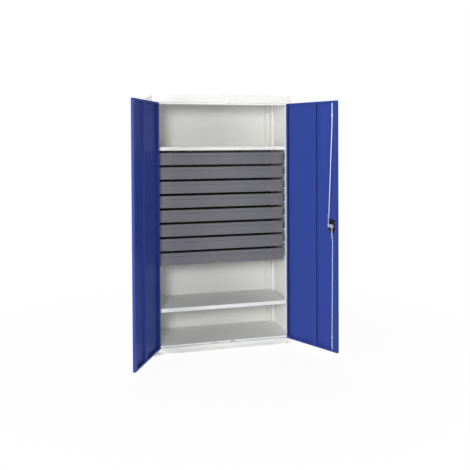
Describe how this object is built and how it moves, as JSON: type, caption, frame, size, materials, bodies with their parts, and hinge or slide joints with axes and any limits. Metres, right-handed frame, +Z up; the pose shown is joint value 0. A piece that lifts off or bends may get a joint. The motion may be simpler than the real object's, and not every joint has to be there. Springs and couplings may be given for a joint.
{
  "type": "drawer cabinet",
  "caption": "Sheet steel cabinet with hinged double doors, a rod lock, shallow drawers on slides between two shelves and open compartments above and below",
  "frame": {"origin": "middle of the cabinet's footprint, on the floor", "axes": "+X to the right seen from the front, +Y from the front to the back, +Z up"},
  "size_m": [1.3757, 0.8908, 1.8],
  "materials": {
    "carcass_paint": "light grey powder coat with a fine orange-peel texture, satin",
    "door_paint": "deep blue powder coat, semi-gloss",
    "drawer_paint": "dark grey powder coat, satin",
    "zinc_steel": "zinc-plated steel, bright",
    "black_plastic": "black moulded plastic, fine grain",
    "black_casting": "zinc casting with a fine black powder coat",
    "chromed_metal": "chromed cylinder face",
    "pale_rubber": "pale grey rubber, dull"
  },
  "bodies": {
    "cabinet": {"left_side_panel": "carcass_paint", "right_side_panel": "carcass_paint", "back_panel": "carcass_paint", "top_panel": "carcass_paint", "bottom_panel": "carcass_paint", "plinth_frame": "carcass_paint", "left_front_upright": "carcass_paint", "left_rear_upright": "carcass_paint", "right_front_upright": "carcass_paint", "right_rear_upright": "carcass_paint", "rear_strips": "carcass_paint", "lower_shelf": "carcass_paint", "upper_shelf": "carcass_paint", "shelf_clips": "zinc_steel", "left_slide_channels": "zinc_steel", "right_slide_channels": "zinc_steel", "frame_hinge_leaves": "carcass_paint", "hinge_pins": "zinc_steel", "rod_bushings": "black_plastic", "door_buffers": "pale_rubber"},
    "left_door": {"left_door_panel": "door_paint", "left_door_edge_channel": "door_paint", "left_door_rib": "door_paint", "left_door_hinge_leaves": "door_paint"},
    "right_door": {"right_door_panel": "door_paint", "right_door_edge_channel": "door_paint", "right_door_rib": "door_paint", "right_door_hinge_leaves": "door_paint", "lock_case": "black_plastic", "lock_rosette": "black_plastic", "rod_guides": "zinc_steel"},
    "lock_grip": {"lock_grip": "black_casting", "lock_crank": "zinc_steel"},
    "key_plug": {"key_plug": "chromed_metal"},
    "upper_lock_rod": {"upper_lock_rod": "zinc_steel"},
    "lower_lock_rod": {"lower_lock_rod": "zinc_steel"},
    "drawer_1": {"drawer_1_front": "drawer_paint", "drawer_1_tray": "drawer_paint", "drawer_1_runners": "zinc_steel"},
    "drawer_2": {"drawer_2_front": "drawer_paint", "drawer_2_tray": "drawer_paint", "drawer_2_runners": "zinc_steel"},
    "drawer_3": {"drawer_3_front": "drawer_paint", "drawer_3_tray": "drawer_paint", "drawer_3_runners": "zinc_steel"},
    "drawer_4": {"drawer_4_front": "drawer_paint", "drawer_4_tray": "drawer_paint", "drawer_4_runners": "zinc_steel"},
    "drawer_5": {"drawer_5_front": "drawer_paint", "drawer_5_tray": "drawer_paint", "drawer_5_runners": "zinc_steel"},
    "drawer_6": {"drawer_6_front": "drawer_paint", "drawer_6_tray": "drawer_paint", "drawer_6_runners": "zinc_steel"},
    "drawer_7": {"drawer_7_front": "drawer_paint", "drawer_7_tray": "drawer_paint", "drawer_7_runners": "zinc_steel"},
    "drawer_8": {"drawer_8_front": "drawer_paint", "drawer_8_tray": "drawer_paint", "drawer_8_runners": "zinc_steel"}
  },
  "joints": [
    {"name": "left_door_hinge", "type": "hinge", "parent": "cabinet", "child": "left_door", "pos_m": [-0.4755, -0.2295, 0.9], "axis": [0, 0, -1], "range_deg": [-117, 3]},
    {"name": "right_door_hinge", "type": "hinge", "parent": "cabinet", "child": "right_door", "pos_m": [0.4755, -0.2295, 0.9], "axis": [0, 0, 1], "range_deg": [-116, 4]},
    {"name": "drawer_1_slide", "type": "slide", "parent": "cabinet", "child": "drawer_1", "axis": [0, -1, 0], "range_m": [0, 0.26]},
    {"name": "drawer_2_slide", "type": "slide", "parent": "cabinet", "child": "drawer_2", "axis": [0, -1, 0], "range_m": [0, 0.26]},
    {"name": "drawer_3_slide", "type": "slide", "parent": "cabinet", "child": "drawer_3", "axis": [0, -1, 0], "range_m": [0, 0.26]},
    {"name": "drawer_4_slide", "type": "slide", "parent": "cabinet", "child": "drawer_4", "axis": [0, -1, 0], "range_m": [0, 0.26]},
    {"name": "drawer_5_slide", "type": "slide", "parent": "cabinet", "child": "drawer_5", "axis": [0, -1, 0], "range_m": [0, 0.26]},
    {"name": "drawer_6_slide", "type": "slide", "parent": "cabinet", "child": "drawer_6", "axis": [0, -1, 0], "range_m": [0, 0.26]},
    {"name": "drawer_7_slide", "type": "slide", "parent": "cabinet", "child": "drawer_7", "axis": [0, -1, 0], "range_m": [0, 0.26]},
    {"name": "drawer_8_slide", "type": "slide", "parent": "cabinet", "child": "drawer_8", "axis": [0, -1, 0], "range_m": [0, 0.26]},
    {"name": "lock_turn", "type": "hinge", "parent": "right_door", "child": "lock_grip", "pos_m": [0.6536, -0.60492, 0.904], "axis": [0.8988, 0.4384, 0], "range_deg": [0, 90]},
    {"name": "key_turn", "type": "hinge", "parent": "lock_grip", "child": "key_plug", "pos_m": [0.6536, -0.60492, 0.904], "axis": [0.8988, 0.4384, 0], "range_deg": [0, 90]},
    {"name": "upper_rod_slide", "type": "slide", "parent": "right_door", "child": "upper_lock_rod", "axis": [0, 0, 1], "range_m": [0, 0.0161]},
    {"name": "lower_rod_slide", "type": "slide", "parent": "right_door", "child": "lower_lock_rod", "axis": [0, 0, -1], "range_m": [0, 0.0161]}
  ],
  "couplings": [
    {"joint": "upper_rod_slide", "follows": "lock_turn", "m_per_rad": 0.010186},
    {"joint": "lower_rod_slide", "follows": "lock_turn", "m_per_rad": 0.010186}
  ]
}
